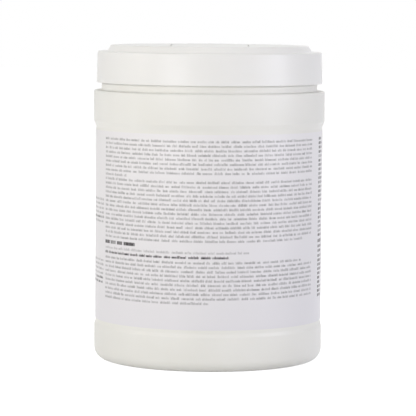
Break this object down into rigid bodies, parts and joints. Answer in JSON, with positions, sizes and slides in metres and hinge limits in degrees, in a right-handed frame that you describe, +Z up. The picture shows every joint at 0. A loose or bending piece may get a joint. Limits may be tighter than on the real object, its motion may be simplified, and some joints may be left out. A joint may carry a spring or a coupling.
{
  "type": "wipes canister",
  "caption": "Round plastic canister with a wrap label, a press-on lid with a hinged cap over a dispensing star, and a roll of moist wipes inside.",
  "frame": {"origin": "centre of the ring that the jar stands on", "axes": "+Z up along the jar's axis; -Y is the back of the pack, with the small print and the cap's hinge; the cap's thumb tab points to +Y"},
  "size_m": [0.127, 0.127, 0.1731],
  "materials": {
    "jar": "satin blow-moulded polyethylene, slightly cream white",
    "label": "satin film, pale lavender white",
    "wipes": "moist nonwoven, embossed",
    "lid": "satin injection-moulded polypropylene, neutral white",
    "cap": "satin injection-moulded polypropylene, neutral white"
  },
  "bodies": {
    "canister": {"canister_body": "jar", "label": "label", "wipes_roll": "wipes"},
    "lid": {"lid": "lid"},
    "flip_cap": {"flip_cap": "cap"}
  },
  "joints": [
    {"name": "lid_lift", "type": "slide", "parent": "canister", "child": "lid", "axis": [0, 0, 1], "range_m": [0, 0.06]},
    {"name": "flip_cap_hinge", "type": "hinge", "parent": "lid", "child": "flip_cap", "pos_m": [0, -0.0246, 0.17285], "axis": [1, 0, 0], "range_deg": [0, 120]}
  ]
}
